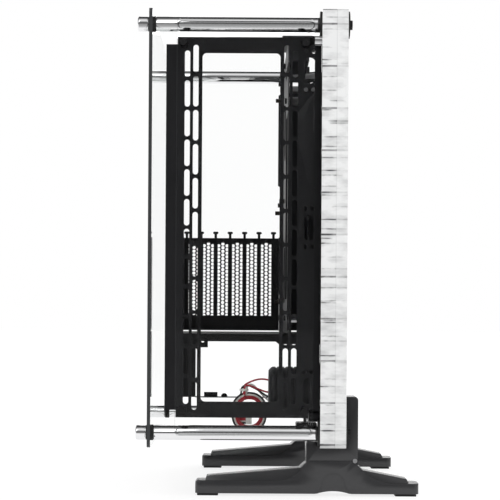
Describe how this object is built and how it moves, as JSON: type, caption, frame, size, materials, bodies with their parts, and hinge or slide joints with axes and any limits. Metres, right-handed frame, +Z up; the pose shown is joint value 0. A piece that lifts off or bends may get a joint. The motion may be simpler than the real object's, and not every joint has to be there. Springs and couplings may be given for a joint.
{
  "type": "computer case",
  "caption": "Open-frame computer case with a glass panel, a clear water distribution plate, cross tubes, slotted steel frame and moulded feet.",
  "frame": {"origin": "centre of the outline on the floor", "axes": "+X from the glass panel to the distribution plate, +Y from the fan bracket to the expansion slots, +Z up"},
  "size_m": [0.3292, 0.432, 0.562],
  "materials": {
    "clear_glass": "polished, dark edge",
    "clear_acrylic": "polished acrylic",
    "chrome": "polished",
    "black_rubber": "matte",
    "black_screws": "black oxide",
    "steel_screws": "bare",
    "brass": "bare",
    "black_sheet": "fine powder coat",
    "cover_sheet": "fine powder coat",
    "black_plastic": "moulded",
    "grey_plastic": "moulded satin",
    "red_wire": "insulation",
    "black_wire": "insulation",
    "white_wire": "insulation"
  },
  "bodies": {
    "root": {"front_glass": "clear_glass", "side_glass": "clear_glass", "side_glass_spacers": "black_plastic", "side_glass_screws": "black_screws", "tube_top_near": "chrome", "tube_top_far": "chrome", "tube_bottom_near": "chrome", "tube_bottom_far": "chrome", "glass_knobs": "chrome", "glass_washers": "black_rubber", "plate_washers": "black_rubber", "plate_bolts": "black_screws", "distro_plate_inner": "clear_acrylic", "distro_plate_outer": "clear_acrylic", "distro_gasket": "black_rubber", "distro_screws": "steel_screws", "port_plugs": "chrome", "radiator_bracket": "black_sheet", "rear_bracket": "black_sheet", "psu_shelf": "black_sheet", "slot_frame": "black_sheet", "slot_cover_1": "cover_sheet", "slot_cover_2": "cover_sheet", "slot_cover_3": "cover_sheet", "slot_cover_4": "cover_sheet", "slot_cover_5": "cover_sheet", "slot_cover_6": "cover_sheet", "slot_screws": "black_screws", "motherboard_tray": "black_sheet", "board_standoffs": "brass", "tray_spacers": "steel_screws", "tray_grommets": "black_rubber", "chassis_screws": "black_screws", "pump_housing": "black_plastic", "pump_ring": "black_plastic", "pump_screws": "steel_screws", "io_housing": "black_plastic", "io_bezel": "black_plastic", "io_sockets": "steel_screws", "foot_near": "grey_plastic", "foot_far": "grey_plastic", "foot_pads": "black_rubber", "foot_bolts": "steel_screws", "lead_red": "red_wire", "lead_red_lower": "red_wire", "lead_black": "black_wire", "lead_white": "white_wire", "lead_hank": "black_wire", "lead_tie": "white_wire", "lead_connector": "white_wire"},
    "power_button": {"power_button": "black_plastic"},
    "reset_button": {"reset_button": "black_plastic"}
  },
  "joints": [
    {"name": "power_press", "type": "slide", "parent": "root", "child": "power_button", "axis": [0, 0, -1], "range_m": [0, 0.0015], "stiffness_N_per_m": 300, "springref_m": -0.001},
    {"name": "reset_press", "type": "slide", "parent": "root", "child": "reset_button", "axis": [0, 0, -1], "range_m": [0, 0.0015], "stiffness_N_per_m": 300, "springref_m": -0.001}
  ]
}
